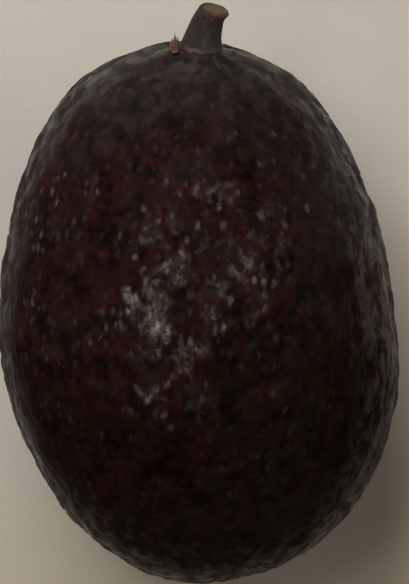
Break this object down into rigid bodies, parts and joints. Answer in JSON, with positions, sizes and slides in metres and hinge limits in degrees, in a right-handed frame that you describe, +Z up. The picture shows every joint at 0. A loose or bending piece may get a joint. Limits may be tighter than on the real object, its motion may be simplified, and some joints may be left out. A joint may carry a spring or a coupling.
{
  "type": "avocado",
  "caption": "Whole ripe avocado with dark pebbled skin lying on its side, with a clipped woody stem stub and a small dry scale at its foot.",
  "frame": {"origin": "middle of the small flat spot under the fruit, on the surface that it lies on, under its centre of mass", "axes": "+Y from the blossom end to the stem end, within 3 degrees; +Z up; the fruit lies on its side"},
  "size_m": [0.0677, 0.0982, 0.0643],
  "materials": {
    "skin": "satin",
    "stem_wood": "matte",
    "dry_scale": "matte"
  },
  "bodies": {
    "root": {"fruit": "skin", "stem_stub": "stem_wood", "dry_scale": "dry_scale"}
  },
  "joints": []
}
